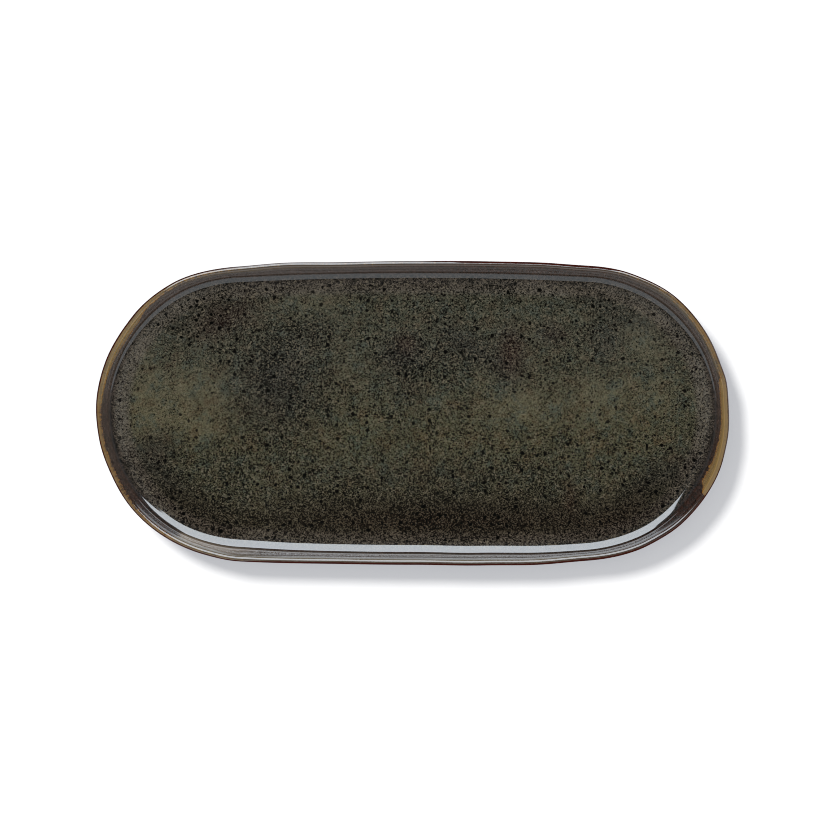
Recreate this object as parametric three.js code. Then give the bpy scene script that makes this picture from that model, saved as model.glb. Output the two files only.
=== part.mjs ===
// Oval tapas plate in glazed stoneware.
// One pressed clay body carries everything: the floor, the upright wall, the lip and the foot ring.
// Five coats of glaze are fired on to it, and each coat is a solid of its own.
// Millimetres, +Z up, with the long side along X. The origin is the middle of the foot, on the table.

import * as THREE from "three";

// Outline of the finished plate, at the widest line of its lip.
const LENGTH = 300;
const WIDTH = 145;
const SIDE_BOW = 2; // the end radius is this much under half the width, so the long sides bow out

// Heights.
const FOOT_HEIGHT = 2; // table to the glazed underside
const CLAY_FLOOR = 3.8;
const WELL_DEPTH = 13; // glazed floor to the top of the lip

// Wall. Leans are measured from the vertical, and both faces open out towards the lip.
const CLAY_LIP = 1.4;
const INNER_LEAN = THREE.MathUtils.degToRad(12);
const OUTER_LEAN = THREE.MathUtils.degToRad(8);
const COVE_RADIUS = 6; // glazed hollow between floor and wall
const HEEL_RADIUS = 6; // glazed round between wall and underside

// Foot ring, left bare so that the plate does not stick to the kiln shelf.
const FOOT_WIDTH = 5;
const FOOT_EDGE = 0.8; // radius of the ring's two bottom edges
const GLAZE_RUN = 3; // how far the outer coat runs under the plate
const BARE_STRIP = 1.5; // clay wiped clean on each side of the ring

// Glaze. The coats butt against each other and lie on the clay, a hair apart.
const GLAZE = 0.58;
const BOND_GAP = 0.02;
const FLOOR_SEAM = 1; // the floor coat stops this far inside the cove
const LIP_BAND_INSIDE = 2; // the lip coat reaches this far down the inner wall
const LIP_BAND_OUTSIDE = 2.5; // and this far down the outer wall

// Flats that stand in for the curves.
const END_STEPS = 24;
const SIDE_STEPS = 8;
const COVE_STEPS = 6;
const LIP_STEPS = 4; // on each side of the lip's top
const HEEL_STEPS = 6;
const FOOT_EDGE_STEPS = 2;

// Angles that point straight up and straight down in a section.
const TOP = 0.5 * Math.PI;
const BOTTOM = 1.5 * Math.PI;

// Levels of the finished, glazed faces.
const coat = GLAZE + BOND_GAP;
const undersideZ = FOOT_HEIGHT;
const floorZ = undersideZ + coat + CLAY_FLOOR + coat;
const rimZ = floorZ + WELL_DEPTH;

// The section through the rim is drawn in (inset, z), where inset is measured inwards from the outline.
// Three circles and their common tangents make it: the lip, the cove and the heel.
const lipRadius = CLAY_LIP / 2 + coat;
const lip = new THREE.Vector2(lipRadius, rimZ - lipRadius);
const intoWell = new THREE.Vector2(Math.cos(INNER_LEAN), Math.sin(INNER_LEAN));
const outOfWall = new THREE.Vector2(-Math.cos(OUTER_LEAN), -Math.sin(OUTER_LEAN));
const downInside = new THREE.Vector2(Math.sin(INNER_LEAN), -Math.cos(INNER_LEAN));
const downOutside = new THREE.Vector2(Math.sin(OUTER_LEAN), -Math.cos(OUTER_LEAN));
const cove = tangentCentre(intoWell, lipRadius + COVE_RADIUS, downInside, floorZ + COVE_RADIUS);
const heel = tangentCentre(outOfWall, lipRadius - HEEL_RADIUS, downOutside, undersideZ + HEEL_RADIUS);

// Places along the section, as insets.
const floorSeam = cove.x + FLOOR_SEAM;
const glazeLine = heel.x + GLAZE_RUN;
const footOuter = glazeLine + BARE_STRIP;
const footInner = footOuter + FOOT_WIDTH;
const baseEdge = footInner + BARE_STRIP;

// Centre of a circle that touches a wall face: across from the lip's centre, then down the face to a level.
function tangentCentre(across, distance, down, level) {
  const start = lip.clone().addScaledVector(across, distance);
  return start.addScaledVector(down, (level - start.y) / down.y);
}

function arc(centre, radius, from, to, steps) {
  return new THREE.ArcCurve(centre.x, centre.y, radius, from, to, to < from).getPoints(steps);
}

// Faces of the section at a depth under the finished glaze, each in order from the well to the foot.
function coveArc(depth) {
  return arc(cove, COVE_RADIUS + depth, BOTTOM, Math.PI + INNER_LEAN, COVE_STEPS);
}

// The lip's highest line and its widest line are both points of its arc.
function lipArc(depth) {
  const radius = lipRadius - depth;
  const outerTangent = Math.PI + OUTER_LEAN;
  return [
    ...arc(lip, radius, INNER_LEAN, TOP, LIP_STEPS),
    ...arc(lip, radius, TOP, Math.PI, LIP_STEPS).slice(1),
    ...arc(lip, radius, Math.PI, outerTangent, 1).slice(1),
  ];
}

function heelArc(depth) {
  return arc(heel, HEEL_RADIUS - depth, Math.PI + OUTER_LEAN, BOTTOM, HEEL_STEPS);
}

function onFloor(inset, depth) {
  return new THREE.Vector2(inset, floorZ - depth);
}

function onInnerWall(drop, depth) {
  return lip.clone().addScaledVector(intoWell, lipRadius - depth).addScaledVector(downInside, drop);
}

function onOuterWall(drop, depth) {
  return lip.clone().addScaledVector(outOfWall, lipRadius - depth).addScaledVector(downOutside, drop);
}

function onUnderside(inset, depth) {
  return new THREE.Vector2(inset, undersideZ + depth);
}

// The oval, inset by a distance: two end arcs and two long side arcs, tangent and anticlockwise from above.
function outline(inset) {
  const halfWidth = WIDTH / 2;
  const endRadius = halfWidth - SIDE_BOW;
  const endX = LENGTH / 2 - endRadius;
  const sideRadius = (endX ** 2 + halfWidth ** 2 - endRadius ** 2) / (2 * SIDE_BOW);
  const sideY = sideRadius - halfWidth;
  const turn = Math.atan2(sideY, endX);
  const right = new THREE.Vector2(endX, 0);
  const left = new THREE.Vector2(-endX, 0);
  const above = new THREE.Vector2(0, sideY);
  const below = new THREE.Vector2(0, -sideY);
  const arcs = [
    arc(right, endRadius - inset, -turn, turn, END_STEPS),
    arc(below, sideRadius - inset, turn, Math.PI - turn, SIDE_STEPS),
    arc(left, endRadius - inset, Math.PI - turn, Math.PI + turn, END_STEPS),
    arc(above, sideRadius - inset, Math.PI + turn, 2 * Math.PI - turn, SIDE_STEPS),
  ];
  return arcs.flatMap((points) => points.slice(0, -1));
}

// Carries a section round the oval. A closed section makes a ring. An open one makes a disc, whose
// first point is the edge of its flat top and whose last is the edge of its flat bottom.
function carryRound(section, closed) {
  const rings = section.map((point) => outline(point.x));
  const columns = rings[0].length;
  const positions = section.flatMap((point, row) => rings[row].flatMap((p) => [p.x, p.y, point.y]));
  const index = [];
  const bands = closed ? section.length : section.length - 1;
  for (let row = 0; row < bands; row++) {
    const next = (row + 1) % section.length;
    for (let column = 0; column < columns; column++) {
      const beside = (column + 1) % columns;
      const a = row * columns + column;
      const b = next * columns + column;
      const c = next * columns + beside;
      const d = row * columns + beside;
      index.push(a, b, c, a, c, d);
    }
  }
  if (!closed) {
    const lastRing = (section.length - 1) * columns;
    for (const [a, b, c] of THREE.ShapeUtils.triangulateShape(rings[0], [])) {
      index.push(a, b, c);
    }
    for (const [a, b, c] of THREE.ShapeUtils.triangulateShape(rings[section.length - 1], [])) {
      index.push(lastRing + c, lastRing + b, lastRing + a);
    }
  }
  const geometry = new THREE.BufferGeometry();
  geometry.setAttribute("position", new THREE.Float32BufferAttribute(positions, 3));
  geometry.setIndex(index);
  geometry.computeVertexNormals();
  return geometry;
}

// A ring of glaze: its face at depth 0, and its back on the clay.
function coatRing(faceAt) {
  return carryRound([...faceAt(0), ...faceAt(GLAZE).reverse()], true);
}

// A flat disc of glaze between two levels.
function coatDisc(edgeInset, topZ) {
  const top = new THREE.Vector2(edgeInset, topZ);
  const bottom = new THREE.Vector2(edgeInset, topZ - GLAZE);
  return carryRound([top, bottom], false);
}

// Pressed clay body with its foot ring.
function clayBody() {
  const outerEdge = new THREE.Vector2(footOuter + FOOT_EDGE, FOOT_EDGE);
  const innerEdge = new THREE.Vector2(footInner - FOOT_EDGE, FOOT_EDGE);
  return carryRound(
    [
      ...coveArc(coat),
      ...lipArc(coat),
      ...heelArc(coat),
      onUnderside(footOuter, coat),
      ...arc(outerEdge, FOOT_EDGE, Math.PI, BOTTOM, FOOT_EDGE_STEPS),
      ...arc(innerEdge, FOOT_EDGE, BOTTOM, 2 * Math.PI, FOOT_EDGE_STEPS),
      onUnderside(footInner, coat),
    ],
    false,
  );
}

function floorGlaze() {
  return coatDisc(floorSeam, floorZ);
}

function wallGlaze() {
  return coatRing((depth) => [
    onFloor(floorSeam - BOND_GAP, depth),
    ...coveArc(depth),
    onInnerWall(LIP_BAND_INSIDE, depth),
  ]);
}

function lipGlaze() {
  return coatRing((depth) => [
    onInnerWall(LIP_BAND_INSIDE - BOND_GAP, depth),
    ...lipArc(depth),
    onOuterWall(LIP_BAND_OUTSIDE - BOND_GAP, depth),
  ]);
}

function outerGlaze() {
  return coatRing((depth) => [
    onOuterWall(LIP_BAND_OUTSIDE, depth),
    ...heelArc(depth),
    onUnderside(glazeLine, depth),
  ]);
}

function baseGlaze() {
  return coatDisc(baseEdge, undersideZ + GLAZE);
}

function piece(name, geometry, color, roughness) {
  const material = new THREE.MeshStandardMaterial({ color, roughness, metalness: 0 });
  const mesh = new THREE.Mesh(geometry, material);
  mesh.name = name;
  return mesh;
}

const plate = new THREE.Group();
plate.add(
  piece("stoneware_body", clayBody(), 0x8a7460, 0.9),
  piece("floor_glaze", floorGlaze(), 0x464135, 0.25),
  piece("wall_glaze", wallGlaze(), 0x3a312b, 0.2),
  piece("lip_glaze", lipGlaze(), 0x6e4f2c, 0.2),
  piece("outer_glaze", outerGlaze(), 0x33231b, 0.2),
  piece("base_glaze", baseGlaze(), 0x3a2a20, 0.3),
);

export default plate;
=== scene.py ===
# %% [markdown]
# # An oval tapas plate in reactive glaze
#
# A shallow stoneware plate is pressed in one go, so its floor, upright wall, thin lip and foot ring are
# one piece of clay. It is then dipped and sprayed with glaze, which melts into a skin of coloured glass.
# The packed model gives the overall sizes. This lesson adds the fine surface and the finish.

# %% The packed plate as a fixed frame
import math

import bpy
import numpy as np
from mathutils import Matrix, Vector


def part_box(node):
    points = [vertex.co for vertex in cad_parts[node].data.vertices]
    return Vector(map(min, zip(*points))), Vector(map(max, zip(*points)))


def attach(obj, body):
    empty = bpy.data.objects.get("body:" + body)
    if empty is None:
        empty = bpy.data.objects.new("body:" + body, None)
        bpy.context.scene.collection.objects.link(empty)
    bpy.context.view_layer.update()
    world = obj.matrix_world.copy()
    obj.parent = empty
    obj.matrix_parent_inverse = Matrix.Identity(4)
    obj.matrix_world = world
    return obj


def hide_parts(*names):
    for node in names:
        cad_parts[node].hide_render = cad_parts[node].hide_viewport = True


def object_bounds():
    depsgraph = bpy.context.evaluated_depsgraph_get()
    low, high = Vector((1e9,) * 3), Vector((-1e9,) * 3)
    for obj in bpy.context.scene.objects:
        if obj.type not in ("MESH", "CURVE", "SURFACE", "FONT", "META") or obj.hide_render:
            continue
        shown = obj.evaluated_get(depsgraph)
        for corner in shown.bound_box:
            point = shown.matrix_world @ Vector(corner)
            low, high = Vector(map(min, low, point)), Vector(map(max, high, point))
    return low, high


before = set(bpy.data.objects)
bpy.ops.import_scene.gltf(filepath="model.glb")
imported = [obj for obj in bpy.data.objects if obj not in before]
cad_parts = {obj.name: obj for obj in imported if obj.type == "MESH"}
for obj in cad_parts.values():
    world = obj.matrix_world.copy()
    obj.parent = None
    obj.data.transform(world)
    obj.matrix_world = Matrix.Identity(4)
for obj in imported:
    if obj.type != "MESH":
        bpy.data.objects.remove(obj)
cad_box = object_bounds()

MM = 0.001
print("nodes in the frame:", sorted(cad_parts))

# %% [markdown]
# ## Sizes
#
# The overall sizes are read from the frame, so they can't drift from it. The radii and leans of the
# section are the plate's own, and are repeated here because a packed solid only holds their flats.
# Lengths are in millimetres until a mesh is made, because that is how a potter measures.

# %% Sizes of the plate
plate_low, plate_high = (np.array(corner) / MM for corner in cad_box)
floor_low, floor_high = (np.array(corner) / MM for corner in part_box("floor_glaze"))
base_low = np.array(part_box("base_glaze")[0]) / MM

LENGTH, WIDTH, RIM_HEIGHT = plate_high - plate_low
FLOOR_HEIGHT = floor_high[2]
UNDERSIDE_HEIGHT = base_low[2]
GLAZE = floor_high[2] - floor_low[2]
# The clay starts a hair below the glaze, so that their faces never lie in one plane.
CLAY_GAP = 0.02
COAT = GLAZE + CLAY_GAP

SIDE_BOW = 2.0
LIP_RADIUS = 1.3
INNER_LEAN = 12.0
OUTER_LEAN = 8.0
COVE_RADIUS = 6.0
HEEL_RADIUS = 6.0
LIP_BAND_INSIDE = 2.0
LIP_BAND_OUTSIDE = 2.5
GLAZE_RUN = 3.0
BARE_STRIP = 1.5
FOOT_WIDTH = 5.0
FOOT_EDGE = 0.8
print(f"plate {LENGTH:.1f} x {WIDTH:.1f} x {RIM_HEIGHT:.1f} mm, glaze {GLAZE:.2f} mm")

# %% [markdown]
# ## The section, drawn as a walk
#
# A section of lines and arcs can be walked like a path: along a line the heading holds, and along an arc
# it turns steadily. So a short list of distances and headings draws the whole skin, from the floor of the
# well over the lip to the underside. A bevelled box would be round at its edges too, but it couldn't say
# how far each point lies from the lip, and the glaze needs that later. The distances come first.

# %% Distances along the skin
inner_lean_sine = math.sin(math.radians(INNER_LEAN))
outer_lean_sine = math.sin(math.radians(OUTER_LEAN))
wall_drop = RIM_HEIGHT - FLOOR_HEIGHT - (LIP_RADIUS + COVE_RADIUS) * (1 - inner_lean_sine)
outer_drop = RIM_HEIGHT - UNDERSIDE_HEIGHT - LIP_RADIUS * (1 + outer_lean_sine)
outer_drop -= HEEL_RADIUS * (1 - outer_lean_sine)

# Distances from the top of the lip: positive into the well, negative down the outside.
LIP_INSIDE = LIP_RADIUS * math.radians(90 - INNER_LEAN)
COVE_TOP = LIP_INSIDE + wall_drop / math.cos(math.radians(INNER_LEAN))
COVE_FOOT = COVE_TOP + COVE_RADIUS * math.radians(90 - INNER_LEAN)
LIP_OUTSIDE = -LIP_RADIUS * math.radians(90 + OUTER_LEAN)
HEEL_TOP = LIP_OUTSIDE - outer_drop / math.cos(math.radians(OUTER_LEAN))
HEEL_FOOT = HEEL_TOP - HEEL_RADIUS * math.radians(90 - OUTER_LEAN)
GLAZE_LINE = HEEL_FOOT - GLAZE_RUN
print(f"from the lip, the cove's foot is at {COVE_FOOT:.2f} mm and the glaze line at {GLAZE_LINE:.2f} mm")

# %% [markdown]
# The walk adds up short steps along its heading. The surface's normal is always a quarter turn from the
# heading, so the back of the glaze is the same walk, moved along the normal by the thickness of the
# glaze.

# %% The skin of the plate, from the floor over the lip to the underside
# Distance from the lip, and the heading there in degrees.
WALK = [
    (HEEL_FOOT, 180),
    (HEEL_TOP, 90 + OUTER_LEAN),
    (LIP_OUTSIDE, 90 + OUTER_LEAN),
    (0, 0),
    (LIP_INSIDE, INNER_LEAN - 90),
    (COVE_TOP, INNER_LEAN - 90),
    (COVE_FOOT, 0),
]
WALK_STEP = 0.004


def walk(stretches, distances, start):
    """Inset, height and heading at distances along a walked section. Distance 0 lies at start.

    The heading is interpolated between the stretches' ends. The place is the running sum of the heading's
    cosine and sine over short steps.
    """
    ends, headings = np.array(stretches, float).T
    reach = np.array([min(np.min(distances), ends[0]) - 1, max(np.max(distances), ends[-1]) + 1])
    steps = np.arange(np.floor(reach[0] / WALK_STEP), np.ceil(reach[1] / WALK_STEP)) * WALK_STEP
    heading = np.radians(np.interp(steps + WALK_STEP / 2, ends, headings))
    inset = np.cumsum(np.cos(heading)) * WALK_STEP
    height = np.cumsum(np.sin(heading)) * WALK_STEP
    inset += start[0] - np.interp(0, steps + WALK_STEP, inset)
    height += start[1] - np.interp(0, steps + WALK_STEP, height)
    at = np.asarray(distances, float)
    return (
        np.interp(at, steps + WALK_STEP, inset),
        np.interp(at, steps + WALK_STEP, height),
        np.radians(np.interp(at, ends, headings)),
    )


def skin(distances, depth=0.0):
    """Inset, height and normal of the skin, sunk by depth along the normal: the heading turned left."""
    inset, height, heading = walk(WALK, distances, (LIP_RADIUS, RIM_HEIGHT))
    normal = np.stack([-np.sin(heading), np.cos(heading)], axis=-1)
    return inset - depth * normal[:, 0], height - depth * normal[:, 1], normal


cove_inset = skin([COVE_FOOT])[0][0]
FLOOR_SEAM_INSET = (LENGTH - (floor_high[0] - floor_low[0])) / 2
FLOOR_SEAM = COVE_FOOT + FLOOR_SEAM_INSET - cove_inset
LIP_SEAM_INSIDE = LIP_INSIDE + LIP_BAND_INSIDE
LIP_SEAM_OUTSIDE = LIP_OUTSIDE - LIP_BAND_OUTSIDE
print(f"the cove ends {cove_inset:.2f} mm in, and the floor coat starts {FLOOR_SEAM_INSET:.2f} mm in")

# %% [markdown]
# ## The oval
#
# Seen from above the plate is two tight arcs for the ends and two long, nearly flat arcs for the sides. A
# scaled circle would be too pointed. An inset moves every arc towards its own centre, so the wall is
# equally thick all round.

# %% Columns round the oval
END_COLUMNS = 112
SIDE_COLUMNS = 84
end_radius = WIDTH / 2 - SIDE_BOW
end_x = LENGTH / 2 - end_radius
side_radius = (end_x**2 + (WIDTH / 2) ** 2 - end_radius**2) / (2 * SIDE_BOW)
side_y = side_radius - WIDTH / 2
turn = math.atan2(side_y, end_x)

half_end = END_COLUMNS // 2
ARCS = [
    (0, turn, half_end, end_x, 0, end_radius),
    (turn, math.pi - turn, SIDE_COLUMNS, 0, -side_y, side_radius),
    (math.pi - turn, math.pi + turn, END_COLUMNS, -end_x, 0, end_radius),
    (math.pi + turn, 2 * math.pi - turn, SIDE_COLUMNS, 0, side_y, side_radius),
    (2 * math.pi - turn, 2 * math.pi, half_end, end_x, 0, end_radius),
]
bearing = np.concatenate([np.linspace(a, b, n, endpoint=False) for a, b, n, _, _, _ in ARCS])
centre_x = np.concatenate([np.full(n, x) for _, _, n, x, _, _ in ARCS])
centre_y = np.concatenate([np.full(n, y) for _, _, n, _, y, _ in ARCS])
arc_radius = np.concatenate([np.full(n, r) for _, _, n, _, _, r in ARCS])
outward = np.stack([np.cos(bearing), np.sin(bearing)], axis=-1)
COLUMNS = len(bearing)

lip_x = centre_x + arc_radius * outward[:, 0]
lip_y = centre_y + arc_radius * outward[:, 1]
clock = np.degrees(np.arctan2(lip_y / WIDTH, lip_x / LENGTH)) % 360
print(f"{COLUMNS} columns, end radius {end_radius:.1f} mm, side radius {side_radius:.0f} mm")

# %% [markdown]
# A pressed plate shrinks unevenly in the kiln, so its outline wanders by up to about a millimetre, more
# at the right end than at the left. The lists give this plate's own wandering. Places are clock angles on
# the oval: 0 is the right end, 90 the far side, 180 the left end.

# %% Wandering outline
# Clock angle, and how far the lip stands out there in mm.
LIP_WANDER = [
    (3, 0.0), (12, 0.5), (19, 0.0), (31, 0.4), (43, 0.8), (53, -0.1), (60, -0.6), (68, 0.0), (77, -0.2),
    (90, -0.45), (103, -0.65), (112, -0.1), (121, -1.1), (132, 0.1), (140, 0.15), (148, -0.25), (162, 0.15),
    (175, 0.35), (190, -0.15), (203, -0.6), (216, -0.1), (235, -0.5), (241, 0.15), (258, -0.45),
    (270, -0.4), (283, 0.25), (291, 0.65), (301, -0.45), (311, 0.2), (320, 0.9), (337, 1.2), (349, 0.6),
]
# The same for the foot of the cove, which shrank more evenly.
COVE_WANDER = [
    (3, 0.6), (22, 0.9), (40, 0.6), (54, 0.2), (66, -0.05), (90, -0.2), (118, -0.15), (131, 0.35),
    (165, 0.5), (185, 0.3), (205, -0.1), (225, -0.2), (239, -0.9), (250, -0.4), (270, -0.4), (282, 0.3),
    (294, 1.1), (305, 0.6), (313, 0.9), (328, 0.5),
]


def eased(share):
    """A share from 0 to 1 whose ends run level: three squares less two cubes."""
    return share * share * (3 - 2 * share)


def round_the_lip(stops, values):
    """Values between stops round the lip, each stretch eased in and out."""
    stops = np.append(stops, stops[0] + 360)
    values = np.append(values, values[0])
    place = (clock - stops[0]) % 360 + stops[0]
    stretch = np.clip(np.searchsorted(stops, place, side="right") - 1, 0, len(stops) - 2)
    share = eased((place - stops[stretch]) / (stops[stretch + 1] - stops[stretch]))
    return values[stretch] + (values[stretch + 1] - values[stretch]) * share


def waves_round(waves):
    """Sum of sine waves round the plate, each with its height in mm, its count of crests and its phase."""
    return sum(height * np.sin(crests * bearing + phase) for height, crests, phase in waves)


lip_bulge = round_the_lip(*np.array(LIP_WANDER).T)
cove_bulge = round_the_lip(*np.array(COVE_WANDER).T)
lift = waves_round([(0.18, 2, 0.6), (0.1, 3, 2.0)])
print(f"the lip wanders {lip_bulge.min():.2f} to {lip_bulge.max():.2f} mm out and {lift.max():.2f} mm up")

# %% [markdown]
# A section is carried round the oval column by column. The wandering is all there at the wall and gone by
# the middle of the floor, so the floor stays flat and whole.

# %% Carrying a section round the oval
WANDER_FADES = (12.0, 30.0)


def wander_share(inset):
    """How much of the outline's wandering is left at an inset: all of it at the wall, none by mid floor."""
    return 1 - eased(np.clip((inset - WANDER_FADES[0]) / (WANDER_FADES[1] - WANDER_FADES[0]), 0, 1))


def carry(inset, height, normal):
    """A section carried round the oval, as (rows, columns, 3) places and normals.

    A point moves from its arc's centre by the arc's radius less the inset. The bulge goes from the
    cove's to the lip's in proportion to the height above the floor, and the lift grows with it too.
    """
    share = wander_share(inset)[:, None]
    above = np.clip((height - FLOOR_HEIGHT) / (RIM_HEIGHT - FLOOR_HEIGHT), 0, 1)[:, None]
    bulge = cove_bulge + (lip_bulge - cove_bulge) * above
    radius = arc_radius - inset[:, None] + bulge * share
    x = centre_x + radius * outward[:, 0]
    y = centre_y + radius * outward[:, 1]
    z = height[:, None] + lift * above
    across = -normal[:, :1]
    facing = [across * outward[:, 0], across * outward[:, 1], np.repeat(normal[:, 1:], COLUMNS, axis=1)]
    return np.stack([x, y, z], axis=-1), np.stack(facing, axis=-1)


print(f"{wander_share(np.array([20.0]))[0]:.2f} of the wandering is left 20 mm in")

# %% [markdown]
# ## From rows to a closed mesh
#
# Every piece is a stack of rows round the oval, each row joined to the next by quads. A ring of glaze
# closes on itself, front to back. A disc ends in a long narrow gap along the plate's middle, which is
# closed like a ladder: a rung joins each column to its mirror image. Normals are set from the section,
# not from the faces, so that neighbouring coats meet without a seam in the gloss.

# %% Mesh maker
column = np.arange(COLUMNS)
beside = (column + 1) % COLUMNS
spine_x = np.where(arc_radius == end_radius, centre_x, lip_x * end_x / np.abs(lip_x[half_end]))


def band_faces(row, next_row):
    """Quads between two rows, given as index arrays of one vertex to a column."""
    return np.stack([row, next_row, next_row[beside], row[beside]], axis=-1)


def ladder_faces(row, upwards):
    """Faces across a narrow row: quads between each column and its mirror, and a triangle at each end."""
    k = np.arange(1, COLUMNS // 2 - 1)
    half = COLUMNS // 2
    quads = np.stack([row[k], row[k + 1], row[COLUMNS - k - 1], row[COLUMNS - k]], axis=-1)
    ends = np.array([[row[0], row[1], row[-1]], [row[half - 1], row[half], row[half + 1]]])
    return (quads, ends) if upwards else (quads[:, ::-1], ends[:, ::-1])


def make_piece(name, places, normals, ring):
    """A mesh object from (rows, columns, 3) arrays in mm: a closed ring, or a disc with two ladders."""
    rows = len(places)
    index = np.arange(rows * COLUMNS).reshape(rows, COLUMNS)
    pairs = list(zip(index, np.roll(index, -1, axis=0))) if ring else list(zip(index[:-1], index[1:]))
    faces = [quad for pair in pairs for quad in band_faces(*pair).tolist()]
    if not ring:
        for quads, ends in (ladder_faces(index[0], True), ladder_faces(index[-1], False)):
            faces += quads.tolist() + ends.tolist()
    mesh = bpy.data.meshes.new(name)
    mesh.from_pydata((places.reshape(-1, 3) * MM).tolist(), [], faces)
    mesh.polygons.foreach_set("use_smooth", np.ones(len(faces), bool))
    mesh.normals_split_custom_set_from_vertices(normals.reshape(-1, 3).tolist())
    mesh.update()
    piece = bpy.data.objects.new(name, mesh)
    bpy.context.scene.collection.objects.link(piece)
    print(f"{name}: {rows} rows, {len(faces)} faces")
    return piece


def give(piece, name, values):
    """Stores three numbers a vertex, from a (rows, columns, 3) array, as an attribute of the mesh."""
    layer = piece.data.attributes.new(name, "FLOAT_VECTOR", "POINT")
    layer.data.foreach_set("vector", values.astype(np.float32).ravel())


def join_up(piece, node):
    """The piece takes a node's place and moves with the plate."""
    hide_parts(node)
    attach(piece, "root")


print(f"a band between two rows has {len(band_faces(column, column + COLUMNS))} quads")

# %% [markdown]
# ## How the glaze broke
#
# A reactive glaze thins where it runs off an edge and pools where it lies flat, and it changes colour
# with its thickness. On this plate the lip broke to amber, in some places only as a line and in others as
# a run down the wall. The wall itself went from near black to taupe, and the outermost line to oxblood.
# The list gives these round the lip, and they are stored on the mesh, because they belong to this plate.

# %% Breaks in the glaze round the lip
# Clock angle, how far amber runs into the well in mm, how light the wall is, and the share of oxblood.
# A lightness of 0 is near black and 1 is taupe. More than 1 turns towards beige, which paints the pale
# reflection on the near wall, most at the near left.
LIP_BREAKS = [
    (0, 7.6, 0.4, 0.35),
    (11.5, 7.4, 0.5, 0.35),
    (13.5, 2.0, 0.7, 0.35),
    (18, 0.8, 1.0, 0.35),
    (25, 1.8, 1.0, 0.35),
    (42, 0.8, 0.9, 0.6),
    (50, 0.0, 0.7, 0.6),
    (58, -0.9, 0.55, 1.0),
    (80, -0.9, 0.4, 1.0),
    (90, -0.6, 0.55, 0.25),
    (102, -0.5, 0.7, 0.2),
    (115, -0.4, 0.8, 0.2),
    (124, 0.4, 0.8, 0.5),
    (133, 0.9, 0.7, 0.7),
    (141, 2.4, 0.7, 0.9),
    (145, 9.0, 0.8, 0.9),
    (151, 9.8, 0.9, 0.9),
    (158, 7.4, 0.9, 0.9),
    (166, 4.6, 0.9, 0.9),
    (174, 3.0, 0.9, 0.9),
    (180, 1.1, 0.6, 0.8),
    (200, 1.1, 0.55, 0.8),
    (210, 0.7, 0.3, 0.8),
    (219, 0.6, 0.0, 0.8),
    (226, 1.0, 0.1, 0.8),
    # From here round the near side, a lightness above 1 paints the wall's pale reflection.
    (229.5, 1.0, 1.6, 0.8),
    (237, 0.6, 1.5, 0.8),
    (246, -1.0, 1.15, 0.95),
    (290, -1.2, 1.1, 0.95),
    (305, -1.3, 0.7, 0.95),
    (314, -1.3, 0.0, 0.9),
    (329.4, -1.3, 0.0, 0.9),
    (331.0, 4.0, 0.05, 0.9),
    (333.5, 10.4, 0.1, 0.7),
    (338, 10.0, 0.1, 0.7),
    (345, 8.2, 0.15, 0.4),
]
break_clock, *break_values = np.array(LIP_BREAKS).T
amber_run, lightness, oxblood_share = (round_the_lip(break_clock, v) for v in break_values)


def rim_values(distances):
    """For each row and column: the lip's place beside it, and the distance from the top of the lip."""
    rows = len(distances)
    run = np.repeat(np.asarray(distances, float)[:, None], COLUMNS, axis=1)
    return np.stack([np.tile(lip_x, (rows, 1)), np.tile(lip_y, (rows, 1)), run], axis=-1)


def break_values_at(distances):
    """For each row and column: how far inside the amber it is, how light the wall is, the oxblood."""
    rows = len(distances)
    inside = amber_run - np.asarray(distances, float)[:, None]
    return np.stack([inside, np.tile(lightness, (rows, 1)), np.tile(oxblood_share, (rows, 1))], axis=-1)


print(f"amber runs {amber_run.min():.1f} to {amber_run.max():.1f} mm into the well")

# %% [markdown]
# ## Clouds in the floor glaze
#
# The floor is olive with ochre and grey-violet clouds, and a few red-brown ones where iron came through.
# One dark strip along the far ring is a painted shadow of the far wall.
# They are placed as soft ovals and stored on the mesh, because they belong to this plate. The
# speckle over them comes later, from the material.

# %% Clouds of the floor
# Centre x and y, half-length and half-width in mm, tilt in degrees, strength.
LIGHT_CLOUDS = [
    (-104, 8, 24, 16, 0, 1.0),
    (-128, 4, 9, 30, 0, 0.8),
    (-43, 54, 20, 8, 0, 0.6),
    (-32, 22, 8, 9, 0, 0.6),
    (50, 3, 17, 11, 0, 0.9),
    (89, 7, 22, 15, 0, 0.8),
    (111, 36, 15, 13, 0, 0.9),
    (119, 8, 12, 14, 0, 0.5),
    (23, -13, 22, 14, 0, 0.3),
    (-39, -13, 20, 14, 0, 0.3),
    (-102, -9, 14, 8, 0, 0.5),
    (-60, 50, 14, 8, 0, 0.3),
    (62, 46, 30, 10, 0, 0.25),
]
DARK_CLOUDS_AND_SHADE = [
    (-65, 14, 20, 24, 0, 0.9),
    (-46, 38, 14, 8, 20, 0.3),
    (-92, 45, 17, 8, 20, 0.6),
    (-5, 28, 11, 9, 0, 1.0),
    (29, 31, 22, 6, -35, 0.7),
    (17, 27, 10, 9, 0, 0.35),
    (-2, 10, 10, 8, 0, 0.35),
    (47, 29, 6, 11, 0, 0.6),
    (92, 34, 8, 10, 0, 0.6),
    (66, 38, 7, 6, 0, 0.5),
    (-123, -17, 10, 9, 0, 0.7),
    (0, -32, 110, 10, 0, 0.4),
    (0, -42, 115, 6, 0, 0.45),
    (18, -52.5, 112, 9, 0, 1.6),
    (-108, -43, 30, 8, -38, 1.0),
    (113, -38, 34, 9, 36, 1.0),
    # Painted shadow of the far wall: a darker strip along the far ring.
    (0, 63, 100, 5, 0, 0.7),
    (97, 50, 34, 7, -28, 0.6),
    (-104, 48, 24, 6, 30, 0.3),
]
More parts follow.
